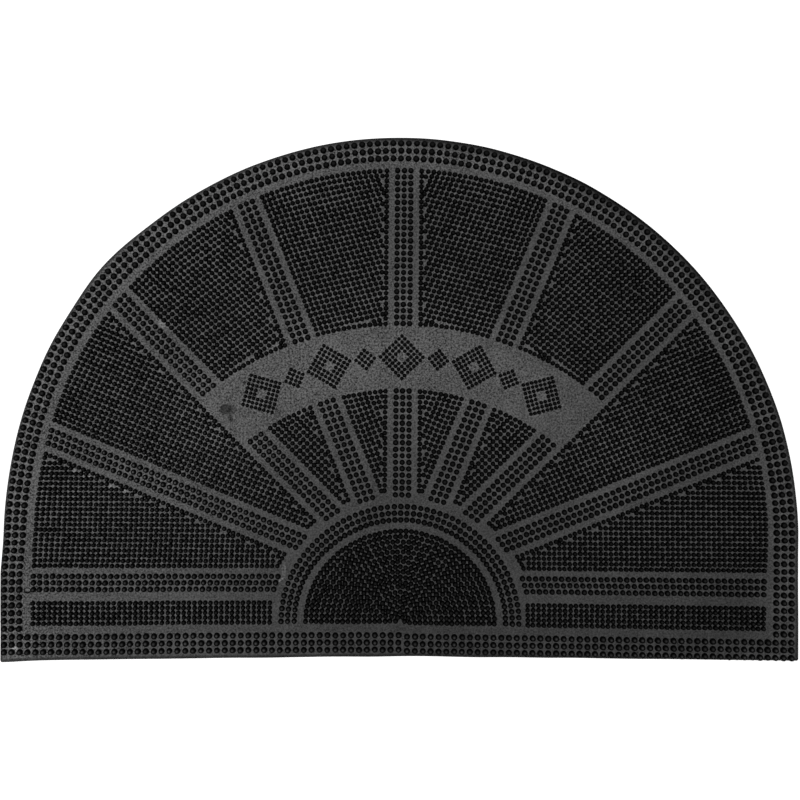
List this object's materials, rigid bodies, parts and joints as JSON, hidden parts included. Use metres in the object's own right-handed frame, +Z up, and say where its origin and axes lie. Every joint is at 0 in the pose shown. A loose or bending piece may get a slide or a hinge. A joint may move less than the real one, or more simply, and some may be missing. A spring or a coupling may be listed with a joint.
{
  "type": "half-round rubber doormat",
  "caption": "Half-round moulded rubber doormat with a flat underside and rows of scraping pins in a fan, a border and a centre half disc.",
  "frame": {"origin": "on the floor, under the middle of the mat's bounding box", "axes": "+X along the straight edge, +Y from the straight edge towards the arch, +Z up out of the pins"},
  "size_m": [0.7, 0.459, 0.008],
  "materials": {
    "moulded_rubber": "matt, dusty between the pins"
  },
  "bodies": {
    "root": {"mat": "moulded_rubber"}
  },
  "joints": []
}
